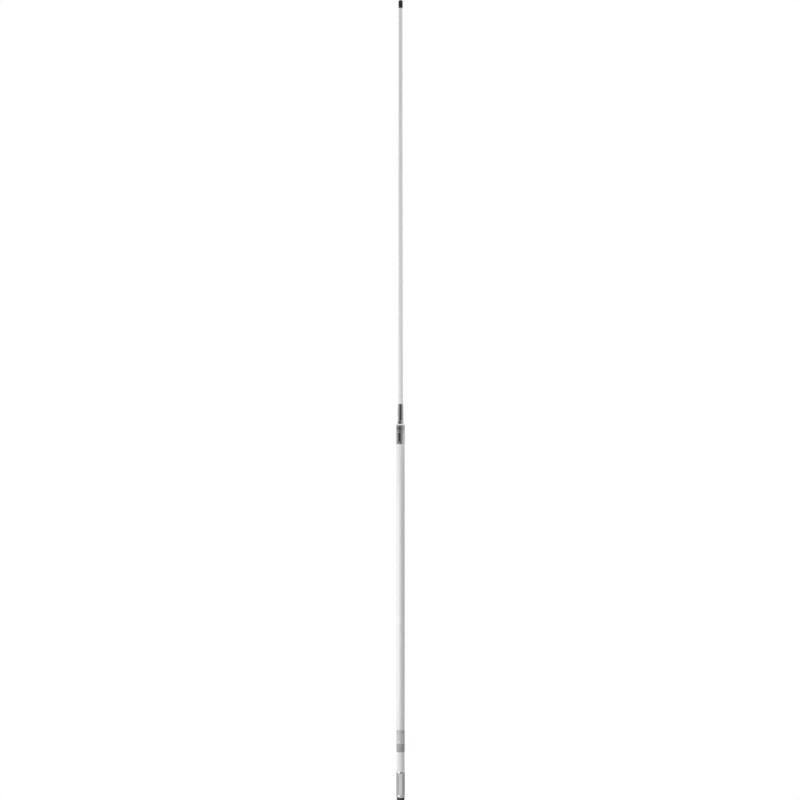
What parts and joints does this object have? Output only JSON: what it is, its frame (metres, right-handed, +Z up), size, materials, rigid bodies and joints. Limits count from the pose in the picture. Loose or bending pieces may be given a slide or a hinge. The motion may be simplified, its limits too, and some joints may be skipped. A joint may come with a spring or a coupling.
{
  "type": "omnidirectional whip antenna",
  "caption": "Tall two-section white fibreglass whip antenna with a screwed metal coupling between its sections and a threaded base for a standard antenna mount.",
  "frame": {"origin": "centre of the mount thread's mouth, in the bottom face of the base insert", "axes": "+Z up the antenna to its tip; the antenna is round, so X and Y are across it"},
  "size_m": [0.0318, 0.0318, 2.896],
  "materials": {
    "tip_rubber": "satin",
    "whip_fibreglass": "gloss",
    "mast_fibreglass": "gloss",
    "chrome_plate": "polished",
    "polished_steel": "polished",
    "pin_steel": "satin",
    "black_nylon": "matte",
    "label_vinyl": "satin",
    "nickel_plate": "satin",
    "contact_brass": "satin",
    "sleeve_brass": "satin",
    "copper": "satin",
    "tinned_braid": "satin",
    "cable_jacket": "satin",
    "cable_dielectric": "matte",
    "ptfe": "matte",
    "bush_plastic": "matte",
    "foam": "matte",
    "seal_rubber": "matte"
  },
  "bodies": {
    "mast": {"mast_ferrule": "chrome_plate", "neck_seal": "seal_rubber", "socket_insulator": "ptfe", "socket_contact": "contact_brass", "mast_tube": "mast_fibreglass", "label_wrap": "label_vinyl", "coax_jacket": "cable_jacket", "coax_braid": "tinned_braid", "coax_dielectric": "cable_dielectric", "coax_core": "copper", "decoupling_sleeve": "sleeve_brass", "sleeve_bush": "bush_plastic", "sleeve_spacers": "foam", "mast_spacers": "foam", "base_ferrule": "polished_steel", "ferrule_pins": "pin_steel", "base_insert": "black_nylon", "jack_shell": "nickel_plate", "jack_insulator": "ptfe", "jack_contact": "contact_brass", "jack_washer": "nickel_plate", "jack_nut": "nickel_plate"},
    "whip": {"tip_cap": "tip_rubber", "whip_tube": "whip_fibreglass", "upper_radiator": "copper", "phasing_coil": "copper", "coil_former": "ptfe", "lower_radiator": "copper", "whip_spacers": "foam", "whip_ferrule": "chrome_plate", "plug_shell": "nickel_plate", "plug_insulator": "ptfe", "plug_pin": "contact_brass", "plug_seal": "seal_rubber", "slip_washer": "ptfe"},
    "coupling_nut": {"coupling_nut": "chrome_plate"}
  },
  "joints": [
    {"name": "whip_lift", "type": "slide", "parent": "mast", "child": "whip", "axis": [0, 0, 1], "range_m": [0, 0.018]},
    {"name": "nut_spin", "type": "hinge", "parent": "whip", "child": "coupling_nut", "pos_m": [0, 0, 1.346], "axis": [0, 0, 1], "range_deg": [0, 3240]}
  ],
  "couplings": [
    {"joint": "nut_spin", "follows": "whip_lift", "rad_per_m": 3141.6}
  ]
}
